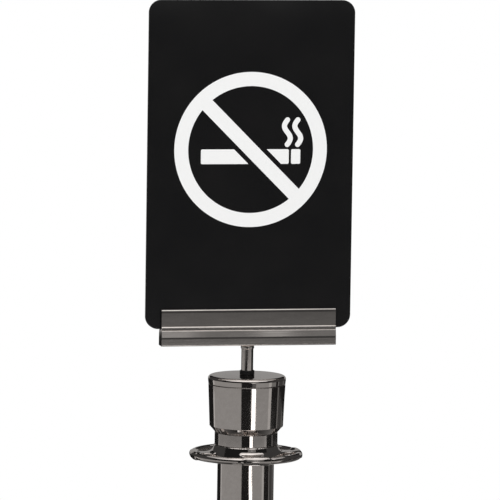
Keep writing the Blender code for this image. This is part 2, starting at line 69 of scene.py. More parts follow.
# Printed symbol on the panel
SYMBOL_HEIGHT = 1208.4 * MM
SYMBOL_RADIUS = 66.0 * MM
SYMBOL_STROKE = 12.0 * MM
SYMBOL_GAP = 4.0 * MM  # bare sheet beside the slash, before the ember and under the smoke
CIGARETTE_LENGTH = 86.0 * MM
CIGARETTE_HEIGHT = 12.5 * MM
CIGARETTE_DROP = 6.0 * MM
CIGARETTE_CORNER_RADIUS = 1.2 * MM
EMBER_LENGTH = 8.0 * MM
SMOKE_STROKE = 4.4 * MM
SMOKE_HEIGHT = 21.0 * MM
SMOKE_SWAY = 2.6 * MM
SMOKE_LEFT_OFFSET = -7.5 * MM  # from the middle of the ember
SMOKE_RIGHT_OFFSET = 1.5 * MM
PRINT_THICKNESS = 0.1 * MM
PRINT_SINK = 0.01 * MM
PRINT_CUTTER_STRETCH = 3.0  # thickness of a cutter in the print, in thicknesses of the print

# Slotted bar
HOLDER_LENGTH = 151.4 * MM
BAR_DEPTH = 12.7 * MM
BAR_FACE_HEIGHT = 6.9 * MM
BAR_FOOT_ROUND = 0.8 * MM
SHOULDER_ROUND = 0.8 * MM
SLOT_FLOOR_HEIGHT = 14.2 * MM
SLOT_DEPTH = 17.0 * MM
LIP_THICKNESS = 2.9 * MM
LIP_TOP_ROUND = 1.3 * MM
LIP_TOP_RELIEF = 0.19 * MM
LIP_RELIEF_HEIGHT = 2.4 * MM
SOFT_BREAK = 12.0 * MM  # radius of the faint bends between the bar's faces
BEAD_RADIUS = 1.2 * MM
BEAD_GAP = 1.1 * MM  # from the shoulder's top to where the bead's full circle would begin
BEAD_ROOT = 0.16 * MM  # from the lip's outside to where the bead's underside begins
BEAD_UNDERSIDE = 2.0  # degrees above the level, where the round gives way to a straight underside
SHOULDER_TOP_DROP = 0.9 * MM
SHOULDER_LEDGE = 0.7 * MM
HOLDER_END_CHAMFER = 0.25 * MM
PINCH_SCREW_SPACING = 100.0 * MM
PINCH_SCREW_RADIUS = 2.0 * MM
PINCH_SCREW_CLEARANCE = 0.1 * MM
PINCH_SCREW_HEIGHT = 9.0 * MM

# Rod and lock collar
ROD_RADIUS = 5.1 * MM
ROD_EXPOSED = 25.4 * MM
ROD_SHOULDER_RADIUS = 5.7 * MM
ROD_SHOULDER_HEIGHT = 3.0 * MM
ROD_SHOULDER_ROUND = 0.8 * MM
ROD_TOP_STUD_RADIUS = 4.0 * MM
ROD_TOP_STUD_LENGTH = 9.0 * MM
ROD_FOOT_STUD_LENGTH = 18.0 * MM
ROD_STUD_ROUND = 0.5 * MM
LOCK_COLLAR_RADIUS = 6.3 * MM
LOCK_COLLAR_HEIGHT = 3.6 * MM
LOCK_COLLAR_TOP_ROUND = 0.4 * MM
LOCK_COLLAR_FOOT_ROUND = 0.3 * MM
LOCK_COLLAR_BORE_ROUND = 0.1 * MM

# Post head
POST_TOP_HEIGHT = 1016.0 * MM
CAP_RIM_RADIUS = 33.25 * MM
CAP_JOINT_RADIUS = 32.85 * MM
CAP_FOOT_RADIUS = 31.4 * MM
CAP_EDGE_ROUND = 2.8 * MM
CAP_EDGE_START = 87  # degrees, where the round takes over from the lid's crown
CAP_CROWN = 0.5 * MM
LID_HEIGHT = 7.4 * MM
LID_SPIGOT_HEIGHT = 3.0 * MM
LID_SPIGOT_ROUND = 0.3 * MM
CAP_TAPER_HEIGHT = 35.9 * MM
CAP_CHAMFER_HEIGHT = 5.2 * MM
CAP_CHAMFER_ROUND = 0.6 * MM
CAP_WALL = 5.0 * MM
CAP_FLOOR = 6.0 * MM
NECK_RADIUS = 26.9 * MM
NECK_HEIGHT = 10.4 * MM
JOINT_ROUND = 0.35 * MM  # on the edges along the joints of lid, cap and neck

# Rope ring
RING_OUTER_RADIUS = 48.0 * MM
RIM_RADIUS = 3.0 * MM
RING_HUB_RADIUS = 27.5 * MM
RING_HUB_FLARE = 2.5 * MM
RING_HUB_HEIGHT = 11.4 * MM
HUB_EDGE_ROUND = 0.4 * MM
WEB_WIDTH = 13.0 * MM
WEB_FLARE = 3.5 * MM
WEB_THICKNESS = 4.2 * MM
WEB_EDGE_ROUND = 1.0 * MM
WEB_SET_BACK = 0.8 * MM
WEB_OVERLAP = 3.0 * MM  # how far each web runs into the hub
CASTING_FILLET = 4.0 * MM
CASTING_GRID = 0.6 * MM
CASTING_PASSES = 8
CASTING_SLOPE_STEP = 0.01 * MM
CASTING_LEAST_SLOPE = 0.25  # of the squared slope, where fillets flatten the distance to the skin
CASTING_PULL = 0.9  # share of the way to the skin in each pass

# Tube and base
TUBE_RADIUS = 24.15 * MM
TUBE_WALL = 1.65 * MM
TUBE_END_ROUND = 0.3 * MM
SPIGOT_RADIUS = 20.0 * MM
BASE_RADIUS = 177.8 * MM
FLOOR_RING_THICKNESS = 4.0 * MM
FLOOR_RING_LIP = 1.6 * MM
FLOOR_RING_LIP_HEIGHT = 7.5 * MM
FLOOR_RING_BORE = 141.9 * MM
FLOOR_RING_LIP_ROUND = 0.8 * MM
FLOOR_RING_FOOT_ROUND = 0.6 * MM
FLOOR_RING_INNER_ROUND = 0.4 * MM
COVER_SHEET = 1.2 * MM
COVER_SKIRT_HEIGHT = 9.0 * MM
COVER_SHOULDER_RADIUS = 9.0 * MM
COVER_SHOULDER_START = 86  # degrees, where the round takes over from the slope
COVER_TOP_HEIGHT = 40.0 * MM
COVER_LEDGE = 7.0 * MM
COVER_SWELL = 0.35  # share of an S-shaped fall in the slope, the rest being straight
FOOT_COLLAR_WIDTH = 13.0 * MM
FOOT_COLLAR_HEIGHT = 12.0 * MM
FOOT_COLLAR_STEP = 3.0 * MM
FOOT_COLLAR_CREST = 2.0 * MM

# Heights and radii that follow
LID_FOOT = POST_TOP_HEIGHT - LID_HEIGHT
CAP_TOP = LID_FOOT - FIT_GAP
CAP_CHAMFER_TOP = CAP_TOP - CAP_TAPER_HEIGHT
CAP_FOOT = CAP_CHAMFER_TOP - CAP_CHAMFER_HEIGHT
NECK_TOP = CAP_FOOT - FIT_GAP
NECK_FOOT = NECK_TOP - NECK_HEIGHT
RING_TOP = NECK_FOOT - FIT_GAP
RING_FOOT = RING_TOP - RING_HUB_HEIGHT
RIM_MIDDLE = RING_FOOT + WEB_SET_BACK + WEB_THICKNESS / 2
TUBE_TOP = RING_FOOT - FIT_GAP
TUBE_FOOT = COVER_TOP_HEIGHT - COVER_SHEET
HOLDER_FOOT = POST_TOP_HEIGHT + ROD_EXPOSED
SLOT_FLOOR = HOLDER_FOOT + SLOT_FLOOR_HEIGHT
PANEL_FOOT = SLOT_FLOOR + FIT_GAP
COLLAR_FOOT = COVER_TOP_HEIGHT + FIT_GAP
SLOT_HALF = PANEL_THICKNESS / 2 + FIT_GAP
LIP_OUTSIDE = SLOT_HALF + LIP_THICKNESS
SPIGOT_HOLE = SPIGOT_RADIUS + FIT_GAP
ROD_HOLE = ROD_RADIUS + FIT_GAP
CAP_BORE = CAP_FOOT_RADIUS - CAP_WALL
RIM_CENTRE_RADIUS = RING_OUTER_RADIUS - RIM_RADIUS
COVER_RADIUS = BASE_RADIUS - FLOOR_RING_LIP - FIT_GAP
POST_HOLE = TUBE_RADIUS + FIT_GAP
COVER_TOP_RADIUS = POST_HOLE + FOOT_COLLAR_WIDTH + COVER_LEDGE

# Facets, support lines and small breaks of the fine meshes
WIDE_TURN = 256
FINE_TURN = 192
SMALL_TURN = 96
SYMBOL_TURN = 128
SCREW_HOLE_TURN = 32
SUPPORT = 0.12 * MM
LONG_STRETCH = 5 * SUPPORT
SOFTENED = 0.2 * MM
SHARP_ANGLE = math.radians(35)
WELD = 0.001 * MM


def show(thing, material, slot, *nodes):
    """Gives a finished piece its material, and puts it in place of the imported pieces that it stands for."""
    thing.data.materials.clear()
    thing.data.materials.append(material)
    thing.data.shade_smooth()
    thing.data.set_sharp_from_angle(angle=SHARP_ANGLE)
    if not thing.users_collection:
        bpy.context.scene.collection.objects.link(thing)
    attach(thing, "root")
    if nodes:
        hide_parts(*nodes)


def mesh_object(name, points, faces):
    """An object from points and faces, with points that coincide joined into one."""
    mesh = bpy.data.meshes.new(name)
    mesh.from_pydata(points, [], faces)
    shape = bmesh.new()
    shape.from_mesh(mesh)
    bmesh.ops.remove_doubles(shape, verts=shape.verts, dist=WELD)
    bmesh.ops.recalc_face_normals(shape, faces=shape.faces)
    shape.to_mesh(mesh)
    shape.free()
    return bpy.data.objects.new(name, mesh)


def apply_modifiers(thing):
    """Makes what an object's modifiers give it its own mesh."""
    if not thing.users_collection:
        bpy.context.scene.collection.objects.link(thing)
    bpy.context.view_layer.update()
    graph = bpy.context.evaluated_depsgraph_get()
    mesh = bpy.data.meshes.new_from_object(thing.evaluated_get(graph))
    thing.modifiers.clear()
    thing.data = mesh


def combine(thing, tool, operation):
    """Adds a tool to a piece or cuts it out, and removes the tool."""
    bpy.context.scene.collection.objects.link(tool)
    modifier = thing.modifiers.new("combine", "BOOLEAN")
    modifier.operation = operation
    modifier.solver = "EXACT"
    modifier.object = tool
    apply_modifiers(thing)
    bpy.data.objects.remove(tool, do_unlink=True)


def shares(steps):
    """Even shares from 0 to 1, with both ends."""
    return [step / steps for step in range(steps + 1)]


def arc(centre, radius, start, end, steps):
    """Points on an arc, with angles in degrees from the first axis."""
    points = []
    for share in shares(steps):
        angle = math.radians(start + (end - start) * share)
        points.append((centre[0] + radius * math.cos(angle), centre[1] + radius * math.sin(angle)))
    return points


def circle(radius, facets):
    return arc((0.0, 0.0), radius, 0, 360, facets)[:-1]


def filleted(corners, closed=False, steps=6):
    """An outline from (x, y, radius) corners, each with an arc of its radius where that isn't zero."""
    points = []
    count = len(corners)
    for index, (x, y, radius) in enumerate(corners):
        is_end = index in (0, count - 1) and not closed
        if radius == 0 or is_end:
            points.append((x, y))
            continue
        here = Vector((x, y))
        before = (Vector(corners[index - 1][:2]) - here).normalized()
        after = (Vector(corners[(index + 1) % count][:2]) - here).normalized()
        half_angle = before.angle(after) / 2
        reach = radius / math.tan(half_angle)
        middle = here + (before + after).normalized() * radius / math.sin(half_angle)
        start = here + before * reach - middle
        turn = start.angle_signed(here + after * reach - middle)
        for share in shares(steps):
            cosine, sine = math.cos(-turn * share), math.sin(-turn * share)
            x_offset = start.x * cosine - start.y * sine
            y_offset = start.x * sine + start.y * cosine
            points.append((middle.x + x_offset, middle.y + y_offset))
    return points


def supported(points, closed):
    """The same line, with points added close to the ends of its long stretches, so that they shade flat."""
    result = []
    count = len(points)
    for index in range(count if closed else count - 1):
        start = Vector(points[index])
        end = Vector(points[(index + 1) % count])
        result.append(tuple(start))
        length = (end - start).length
        if length > LONG_STRETCH:
            step = (end - start) * (SUPPORT / length)
            result += [tuple(start + step), tuple(end - step)]
    if not closed:
        result.append(points[-1])
    return result


def turned(name, profile, facets):
    """A body of revolution about Z from (radius, height) points. One that starts off the axis is closed."""
    closed = profile[0][0] > 0
    line = supported(profile, closed)
    count = len(line)
    points = []
    for step in range(facets):
        angle = 2 * math.pi * step / facets
        cosine, sine = math.cos(angle), math.sin(angle)
        points += [(radius * cosine, radius * sine, height) for radius, height in line]
    faces = []
    for step in range(facets):
        here = step * count
        there = (step + 1) % facets * count
        for index in range(count if closed else count - 1):
            after = (index + 1) % count
            if line[index][0] == 0:
                faces.append((here + index, here + after, there + after))
            elif line[after][0] == 0:
                faces.append((here + index, here + after, there + index))
            else:
                faces.append((here + index, here + after, there + after, there + index))
    return mesh_object(name, points, faces)


def inset(outline, distance):
    """A closed outline moved inwards, with its corners kept square to it."""
    points = np.array(outline, float)
    following = np.roll(points, -1, axis=0)
    ahead = following - points
    ahead /= np.linalg.norm(ahead, axis=1)[:, None]
    area = np.sum(points[:, 0] * following[:, 1] - following[:, 0] * points[:, 1])
    turn = 1 if area > 0 else -1
    normal = np.stack([-ahead[:, 1], ahead[:, 0]], axis=1) * turn
    before = np.roll(normal, 1, axis=0)
    mitre = (normal + before) / (1 + np.sum(normal * before, axis=1))[:, None]
    return points + mitre * distance


def plate(name, outline, thickness, edge, steps, place):
    """A closed outline given thickness, with rounded or chamfered edges.

    place turns (u, v, depth) into X, Y, Z. One step makes a chamfer, more make a round.
    """
    half = thickness / 2
    hold = 2 * SUPPORT
    rounding = []
    for share in shares(steps):
        angle = math.pi / 2 * share
        rounding.append((edge * (1 - math.sin(angle)), half - edge * (1 - math.cos(angle))))
    loops = [(edge + hold, half)] + rounding + [(0.0, half - edge - hold)]
    loops += [(reach, -depth) for reach, depth in reversed(loops)]
    count = len(outline)
    points = []
    for reach, depth in loops:
        points += [place(u, v, depth) for u, v in inset(outline, reach)]
    faces = [tuple(range(count)), tuple(range(len(points) - count, len(points)))]
    for level in range(len(loops) - 1):
        for index in range(count):
            after = (index + 1) % count
            here = level * count
            faces.append((here + index, here + after, here + count + after, here + count + index))
    return mesh_object(name, points, faces)


def sheet(name, outline, thickness, place):
    """A closed outline given thickness, with square edges."""
    count = len(outline)
    points = [place(u, v, thickness / 2) for u, v in outline]
    points += [place(u, v, -thickness / 2) for u, v in outline]
    faces = [tuple(range(count)), tuple(range(count, 2 * count))]
    for index in range(count):
        after = (index + 1) % count
        faces.append((index, after, after + count, index + count))
    return mesh_object(name, points, faces)


def add(tree, kind, settings=None, inputs=None):
    """A new shader node, with its settings and its inputs, which are values or other nodes' outputs."""
    made = tree.nodes.new(kind)
    for key, value in (settings or {}).items():
        setattr(made, key, value)
    for key, value in (inputs or {}).items():
        if isinstance(value, bpy.types.NodeSocket):
            tree.links.new(value, made.inputs[key])
        else:
            made.inputs[key].default_value = value
    return made


def maths(tree, operation, first, second):
    settings = {"operation": operation}
    return add(tree, "ShaderNodeMath", settings, {0: first, 1: second}).outputs["Value"]


def stretched(tree, vector, factors):
    settings = {"operation": "MULTIPLY"}
    return add(tree, "ShaderNodeVectorMath", settings, {0: vector, 1: factors}).outputs["Vector"]


def length_of(tree, vector):
    return add(tree, "ShaderNodeVectorMath", {"operation": "LENGTH"}, {0: vector}).outputs["Value"]


def start_material(name, roughness, metallic=0.0, colour=None):
    material = bpy.data.materials.new(name)
    material.use_nodes = True
    tree = material.node_tree
    shader = tree.nodes["Principled BSDF"]
    shader.inputs["Roughness"].default_value = roughness
    shader.inputs["Metallic"].default_value = metallic
    if colour:
        shader.inputs["Base Color"].default_value = (*colour, 1.0)
    return material, tree, shader


def coordinates(tree):
    return add(tree, "ShaderNodeTexCoord").outputs["Object"]


def noise(tree, vector, scale, detail=3.0, roughness=0.5):
    inputs = {"Vector": vector, "Scale": scale, "Detail": detail, "Roughness": roughness}
    return add(tree, "ShaderNodeTexNoise", inputs=inputs).outputs["Fac"]


def spread(tree, value, span, target=(0.0, 1.0)):
    """A value mapped from a span to a target span, and kept inside it."""
    inputs = {"Value": value, "From Min": span[0], "From Max": span[1]}
    inputs |= {"To Min": target[0], "To Max": target[1]}
    return add(tree, "ShaderNodeMapRange", inputs=inputs).outputs["Result"]


def blend(tree, share, first, second):
    mix = add(tree, "ShaderNodeMix", {"data_type": "RGBA"})
    for key, value in (("Factor", share), ("A", first), ("B", second)):
        sockets = [socket for socket in mix.inputs if socket.name == key and socket.enabled]
        if isinstance(value, bpy.types.NodeSocket):
            tree.links.new(value, sockets[0])
        else:
            sockets[0].default_value = value
    return [socket for socket in mix.outputs if socket.enabled][0]


def tint(tree, value, span, first, second):
    """A colour that goes from the first to the second while a value goes through its span."""
    return blend(tree, spread(tree, value, span), (*first, 1.0), (*second, 1.0))


def feed(tree, shader, colour, roughness=None):
    """Leads a colour, and a roughness where there is one, into the shader."""
    tree.links.new(colour, shader.inputs["Base Color"])
    if roughness:
        tree.links.new(roughness, shader.inputs["Roughness"])


def round_lines(tree, vector, along, across):
    """Coordinates that change fast in radius and height and slowly round the axis, for marks of turning."""
    radius = length_of(tree, stretched(tree, vector, (1.0, 1.0, 0.0)))
    parts = add(tree, "ShaderNodeSeparateXYZ", inputs={"Vector": vector})
    inputs = {
        "X": maths(tree, "MULTIPLY", radius, across),
        "Y": maths(tree, "MULTIPLY", parts.outputs["Z"], across),
        "Z": maths(tree, "MULTIPLY", parts.outputs["X"], along),
    }
    return add(tree, "ShaderNodeCombineXYZ", inputs=inputs).outputs["Vector"]


def bump(tree, shader, height, distance):
    inputs = {"Height": height, "Distance": distance, "Strength": 1.0}
    tree.links.new(add(tree, "ShaderNodeBump", inputs=inputs).outputs["Normal"], shader.inputs["Normal"])


def polished_metal():
    """Mirror polish on a warm bright plate: faint turning marks, dull handled patches, slight cloudiness."""
    material, tree, shader = start_material("polished_metal", 0.06, metallic=1.0)
    place = coordinates(tree)
    clouds = noise(tree, place, scale=260.0, detail=4.0, roughness=0.6)
    colour = tint(tree, clouds, (0.3, 0.7), first=(0.745, 0.695, 0.662), second=(0.825, 0.775, 0.742))
    handled = noise(tree, place, scale=38.0)
    feed(tree, shader, colour, roughness=spread(tree, handled, (0.35, 0.75), target=(0.035, 0.105)))
    marks = noise(tree, round_lines(tree, place, along=30.0, across=1400.0), scale=1.0, detail=2.0)
    bump(tree, shader, marks, distance=0.0012 * MM)
    return material


def drawn_metal():
    """Bright plate on a drawn bar, with fine lines along its length and a slight cloudiness."""
    material, tree, shader = start_material("drawn_metal", 0.12, metallic=1.0)
    place = coordinates(tree)
    lines = noise(tree, stretched(tree, place, (14.0, 1500.0, 1500.0)), scale=1.0, roughness=0.6)
    clouds = noise(tree, stretched(tree, place, (60.0, 260.0, 260.0)), scale=1.0)
    colour = tint(tree, clouds, (0.3, 0.7), first=(0.74, 0.70, 0.67), second=(0.82, 0.775, 0.745))
    feed(tree, shader, colour, roughness=spread(tree, lines, (0.3, 0.7), target=(0.045, 0.09)))
    bump(tree, shader, lines, distance=0.0007 * MM)
    return material


def black_acrylic():
    """Glossy cast sheet, almost black, with hairline scratches and a little dust."""
    material, tree, shader = start_material("black_sheet", 0.1)
    place = coordinates(tree)
    shader.inputs["IOR"].default_value = 1.49
    clouds = noise(tree, place, scale=24.0)
    black = tint(tree, clouds, (0.35, 0.7), first=(0.0072, 0.0072, 0.0076), second=(0.0092, 0.009, 0.0092))
    grains = add(tree, "ShaderNodeTexVoronoi", inputs={"Vector": place, "Scale": 340.0, "Randomness": 1.0})
    specks = spread(tree, grains.outputs["Distance"], (0.05, 0.02), target=(0.0, 0.35))
    colour = blend(tree, specks, black, (0.06, 0.058, 0.055, 1.0))
    hairlines = noise(tree, stretched(tree, place, (900.0, 900.0, 26.0)), scale=1.0, detail=2.0)
    feed(tree, shader, colour, roughness=spread(tree, hairlines, (0.55, 0.8), target=(0.08, 0.11)))
    return material


def white_print():
    """Screen print in matt white, a little uneven in its ink."""
    material, tree, shader = start_material("white_ink", 0.45)
    grain = noise(tree, coordinates(tree), scale=1900.0)
    feed(tree, shader, tint(tree, grain, (0.25, 0.6), first=(0.88, 0.88, 0.87), second=(0.95, 0.95, 0.945)))
    bump(tree, shader, grain, distance=0.01 * MM)
    return material


def blackened_steel():
    """Black oxide on turned steel, oiled, with a thin dull sheen, made this dark also to paint the rod's dark
    reflection in the lid's polished top.
    """
    material, tree, shader = start_material("blackened_steel", 0.3, metallic=0.6)
    grain = noise(tree, coordinates(tree), scale=1200.0)
    colour = tint(tree, grain, (0.3, 0.7), first=(0.018, 0.018, 0.019), second=(0.035, 0.034, 0.034))
    feed(tree, shader, colour, roughness=spread(tree, grain, (0.3, 0.7), target=(0.25, 0.32)))
    return material


def plain_steel():
    """Zinc-grey steel with a fine crystalline unevenness."""
    material, tree, shader = start_material("plain_steel", 0.35, metallic=1.0)
    grain = noise(tree, coordinates(tree), scale=700.0, detail=4.0, roughness=0.7)
    colour = tint(tree, grain, (0.3, 0.7), first=(0.40, 0.40, 0.41), second=(0.58, 0.58, 0.58))
    feed(tree, shader, colour, roughness=spread(tree, grain, (0.3, 0.7), target=(0.28, 0.45)))
    bump(tree, shader, grain, distance=0.01 * MM)
    return material


def cast_iron():
    """Sand-cast iron under thin black paint, worn brown in patches."""
    material, tree, shader = start_material("cast_iron", 0.7)
    place = coordinates(tree)
    sand = noise(tree, place, scale=420.0, detail=5.0, roughness=0.65)
    worn = noise(tree, place, scale=45.0, detail=4.0, roughness=0.6)
    colour = tint(tree, worn, (0.58, 0.72), first=(0.022, 0.022, 0.024), second=(0.075, 0.055, 0.042))
    feed(tree, shader, colour, roughness=spread(tree, sand, (0.3, 0.7), target=(0.55, 0.85)))
    bump(tree, shader, sand, distance=0.35 * MM)
    return material


def black_rubber():
    """Moulded rubber, greyed a little by dust at the foot."""
    material, tree, shader = start_material("black_rubber", 0.75)
    place = coordinates(tree)
    grain = noise(tree, place, scale=900.0)
    height = add(tree, "ShaderNodeSeparateXYZ", inputs={"Vector": place}).outputs["Z"]
    patches = noise(tree, place, scale=60.0, detail=4.0)
    dusty = maths(tree, "MULTIPLY", spread(tree, height, (3.5 * MM, 0.0), target=(0.0, 0.5)), patches)
    colour = blend(tree, dusty, (0.016, 0.016, 0.017, 1.0), (0.16, 0.15, 0.14, 1.0))
    feed(tree, shader, colour, roughness=spread(tree, grain, (0.3, 0.7), target=(0.65, 0.85)))
    bump(tree, shader, grain, distance=0.03 * MM)
    return material


METAL = polished_metal()
DRAWN = drawn_metal()
ACRYLIC = black_acrylic()
INK = white_print()
BLACK_PAINTED_REFLECTION = blackened_steel()
STEEL = plain_steel()
IRON = cast_iron()
RUBBER = black_rubber()


def upright(u, v, depth):
    """Puts an outline of width and height into the sign's plane."""
    return (u, depth, v)


def crosswise(u, v, depth):
    """Puts a section of depth and height across the bar's length."""
    return (depth, u, v)


def rectangle(left, right, foot, top, radius):
    """The corners of a rectangle, with the radius of their rounds."""
    return [(left, foot, radius), (right, foot, radius), (right, top, radius), (left, top, radius)]


def make_panel():
    half = PANEL_WIDTH / 2
    corners = rectangle(-half, half, PANEL_FOOT, PANEL_FOOT + PANEL_HEIGHT, PANEL_CORNER_RADIUS)
    outline = filleted(corners, closed=True, steps=24)
    panel = plate("black_panel", outline, PANEL_THICKNESS, PANEL_EDGE_ROUND, steps=5, place=upright)
    show(panel, ACRYLIC, "black_acrylic", "sign_panel")


def holder_section():
    """The bar's section, as (depth, height)."""
    half = BAR_DEPTH / 2
    face_top = HOLDER_FOOT + BAR_FACE_HEIGHT
    shoulder_top = SLOT_FLOOR - SHOULDER_TOP_DROP
    lip_top = SLOT_FLOOR + SLOT_DEPTH
    bead_middle = shoulder_top + BEAD_GAP + BEAD_RADIUS
    lower = [(0.0, HOLDER_FOOT, 0.0), (half, HOLDER_FOOT, BAR_FOOT_ROUND), (half, face_top, SOFT_BREAK)]
    lower += [(LIP_OUTSIDE + SHOULDER_LEDGE, shoulder_top - SHOULDER_LEDGE / 2, SHOULDER_ROUND)]
    lower += [(LIP_OUTSIDE + BEAD_ROOT, shoulder_top, 0.0)]
    upper = [(LIP_OUTSIDE, bead_middle, 0.0), (LIP_OUTSIDE, lip_top - LIP_RELIEF_HEIGHT, SOFT_BREAK)]
    upper += [(LIP_OUTSIDE - LIP_TOP_RELIEF, lip_top, LIP_TOP_ROUND)]
    upper += [(SLOT_HALF, lip_top, SOFTENED), (SLOT_HALF, SLOT_FLOOR, SOFTENED), (0.0, SLOT_FLOOR, 0.0)]
    side = filleted(lower)[1:]
    side += arc((LIP_OUTSIDE, bead_middle), BEAD_RADIUS, BEAD_UNDERSIDE, 90, steps=9)
    side += filleted(upper)[1:-1]
    return supported(side + [(-depth, height) for depth, height in reversed(side)], closed=True)


def make_holder():
    section = holder_section()
    holder = plate("polished_bar", section, HOLDER_LENGTH, HOLDER_END_CHAMFER, steps=1, place=crosswise)
    outline = circle(PINCH_SCREW_RADIUS + PINCH_SCREW_CLEARANCE, SCREW_HOLE_TURN)
    # Each cutter starts in the slot and ends behind the back lip
    y = LIP_OUTSIDE - LIP_THICKNESS / 4
    z = SLOT_FLOOR + PINCH_SCREW_HEIGHT
    for x in (-PINCH_SCREW_SPACING / 2, PINCH_SCREW_SPACING / 2):
        hole = sheet("hole", outline, 2 * LIP_THICKNESS, upright)
        hole.location = (x, y, z)
        combine(holder, hole, "DIFFERENCE")
    show(holder, DRAWN, "holder_metal", "sign_holder")


def show_turned(name, corners, facets, material, slot, node):
    """Turns a ring-shaped piece from its section's (radius, height, round) corners, and shows it."""
    show(turned(name, filleted(corners, closed=True), facets), material, slot, node)


def make_rod():
    top = HOLDER_FOOT - FIT_GAP
    foot = POST_TOP_HEIGHT - ROD_FOOT_STUD_LENGTH
    profile = filleted(
        [
            (0.0, top + ROD_TOP_STUD_LENGTH, 0.0),
            (ROD_TOP_STUD_RADIUS, top + ROD_TOP_STUD_LENGTH, ROD_STUD_ROUND),
            (ROD_TOP_STUD_RADIUS, top, 0.0),
            (ROD_SHOULDER_RADIUS, top, ROD_SHOULDER_ROUND),
            (ROD_SHOULDER_RADIUS, top - ROD_SHOULDER_HEIGHT, ROD_SHOULDER_ROUND),
            (ROD_RADIUS, top - ROD_SHOULDER_HEIGHT, 0.0),
            (ROD_RADIUS, foot, ROD_STUD_ROUND),
            (0.0, foot, 0.0),
        ]
    )
    show(turned("polished_rod", profile, SMALL_TURN), METAL, "polished_metal", "sign_rod")


def make_lock_collar():
    foot = POST_TOP_HEIGHT + FIT_GAP / 2
    top = foot + LOCK_COLLAR_HEIGHT
    corners = [
        (ROD_HOLE, top, LOCK_COLLAR_BORE_ROUND),
        (LOCK_COLLAR_RADIUS, top, LOCK_COLLAR_TOP_ROUND),
        (LOCK_COLLAR_RADIUS, foot, LOCK_COLLAR_FOOT_ROUND),
        (ROD_HOLE, foot, LOCK_COLLAR_BORE_ROUND),
    ]
    # The collar's black also paints the rod's dark reflection in the lid's polished top, at the rod's foot
    name = "black_lock_collar_painted_reflection"
    show_turned(name, corners, SMALL_TURN, BLACK_PAINTED_REFLECTION, "blackened_steel", "rod_lock_collar")


def make_lid():
    flat = CAP_RIM_RADIUS - CAP_EDGE_ROUND
    shoulder = POST_TOP_HEIGHT - CAP_CROWN - CAP_EDGE_ROUND
    spigot = CAP_BORE - FIT_GAP
    spigot_foot = LID_FOOT - LID_SPIGOT_HEIGHT
    profile = []
    for share in shares(12):
        radius = ROD_HOLE + (flat - ROD_HOLE) * share
        profile.append((radius, POST_TOP_HEIGHT - CAP_CROWN * (radius / flat) ** 2))
    profile += arc((flat, shoulder), CAP_EDGE_ROUND, CAP_EDGE_START, 0, steps=14)
    below = [
        (CAP_RIM_RADIUS, shoulder, 0.0),
        (CAP_JOINT_RADIUS, LID_FOOT, JOINT_ROUND),
        (spigot, LID_FOOT, 0.0),
        (spigot, spigot_foot, LID_SPIGOT_ROUND),
        (ROD_HOLE, spigot_foot, 0.0),
    ]
    profile += filleted(below)[1:]
    show(turned("polished_lid", profile, FINE_TURN), METAL, "polished_metal", "cap_lid")


def make_cap():
    inner_floor = CAP_FOOT + CAP_FLOOR
    corners = [
        (CAP_BORE, CAP_TOP, SOFTENED),
        (CAP_JOINT_RADIUS, CAP_TOP, JOINT_ROUND),
        (CAP_FOOT_RADIUS, CAP_CHAMFER_TOP, CAP_CHAMFER_ROUND),
        (NECK_RADIUS, CAP_FOOT, SOFTENED),
        (SPIGOT_HOLE, CAP_FOOT, 0.0),
        (SPIGOT_HOLE, inner_floor, 0.0),
        (CAP_BORE, inner_floor, 0.0),
    ]
    show_turned("polished_cap", corners, FINE_TURN, METAL, "polished_metal", "cap_body")


def make_neck():
    corners = [
        (SPIGOT_HOLE, NECK_TOP, 0.0),
        (NECK_RADIUS, NECK_TOP, JOINT_ROUND),
        (NECK_RADIUS, NECK_FOOT, JOINT_ROUND),
        (SPIGOT_HOLE, NECK_FOOT, 0.0),
    ]
    show_turned("polished_neck", corners, FINE_TURN, METAL, "polished_metal", "neck_collar")


def rounded_corner(across, along, radius):
    """Distance to a rounded corner, from the distances past its two sides less the radius."""
    outside = np.hypot(np.maximum(across, 0.0), np.maximum(along, 0.0))
    return outside + np.minimum(np.maximum(across, along), 0.0) - radius


def smooth_union(first, second, reach):
    """The nearer of two skins, with a fillet of about the given reach where they meet."""
    share = np.maximum(reach - np.abs(first - second), 0.0) / reach
    return np.minimum(first, second) - share * share * reach / 4


def ring_distance(points):
    """Distance from points to the skin of the cast rope ring, with its fillets."""
    x, y, z = np.abs(points[:, 0]), np.abs(points[:, 1]), points[:, 2]
    radius = np.hypot(x, y)
    rim = np.hypot(radius - RIM_CENTRE_RADIUS, z - RIM_MIDDLE) - RIM_RADIUS
    below_top = np.clip((RING_TOP - z) / (RING_TOP - RIM_MIDDLE), 0.0, 1.0)
    hub_radius = RING_HUB_RADIUS + RING_HUB_FLARE * below_top
    hub = rounded_corner(
        np.abs(radius - (hub_radius + SPIGOT_HOLE) / 2) - (hub_radius - SPIGOT_HOLE) / 2 + HUB_EDGE_ROUND,
        np.abs(z - (RING_TOP + RING_FOOT) / 2) - RING_HUB_HEIGHT / 2 + HUB_EDGE_ROUND,
        HUB_EDGE_ROUND,
    )
    out, side = np.maximum(x, y), np.minimum(x, y)
    inner, outer = RING_HUB_RADIUS + RING_HUB_FLARE, RIM_CENTRE_RADIUS - RIM_RADIUS
    from_middle = np.abs(out - (inner + outer) / 2) / ((outer - inner) / 2)
    width = WEB_WIDTH / 2 + WEB_FLARE * np.minimum(1.0, from_middle) ** 3
    web = rounded_corner(
        side - width + WEB_EDGE_ROUND,
        np.abs(z - RIM_MIDDLE) - WEB_THICKNESS / 2 + WEB_EDGE_ROUND,
        WEB_EDGE_ROUND,
    )
    web = np.maximum(web, np.maximum(inner - WEB_OVERLAP - out, out - RIM_CENTRE_RADIUS))
    return smooth_union(smooth_union(hub, web, CASTING_FILLET), rim, CASTING_FILLET)


